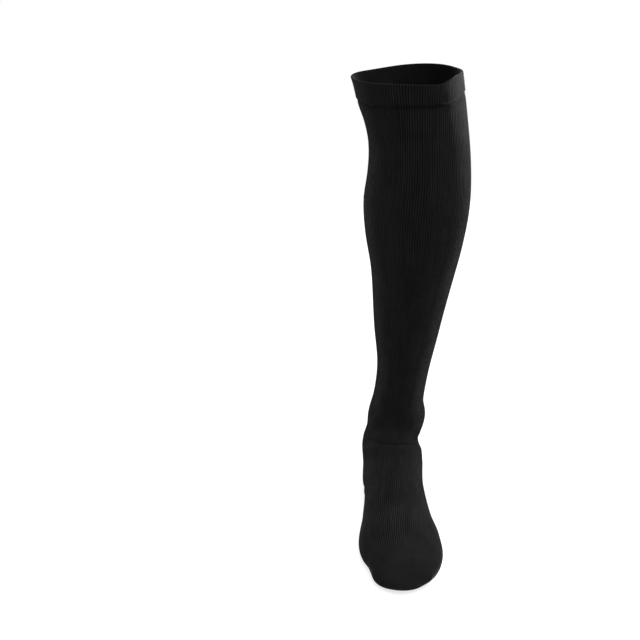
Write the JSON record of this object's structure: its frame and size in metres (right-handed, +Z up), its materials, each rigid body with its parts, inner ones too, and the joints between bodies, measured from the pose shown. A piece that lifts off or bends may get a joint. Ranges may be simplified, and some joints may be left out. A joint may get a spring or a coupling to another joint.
{
  "type": "compression stocking",
  "caption": "Knee-high compression stocking as worn on a standing leg: a hollow ribbed knit tube with a doubled top band, a ribbed instep and plain heel, sole and toe.",
  "frame": {"origin": "middle of the top band, where the leg below the knee holds the stocking", "axes": "+Z up, -Y towards the toes, +X towards the little toe; the flat of the sole is 0.454 m below the origin"},
  "size_m": [0.1225, 0.2606, 0.4825],
  "materials": {
    "ribbed_knit": "matte black ribbed knit of polyamide and elastane",
    "plain_knit": "matte black plain knit of polyamide and elastane"
  },
  "bodies": {
    "root": {"welt": "ribbed_knit", "leg": "ribbed_knit", "foot": "ribbed_knit", "heel": "plain_knit", "toe": "plain_knit"}
  },
  "joints": []
}
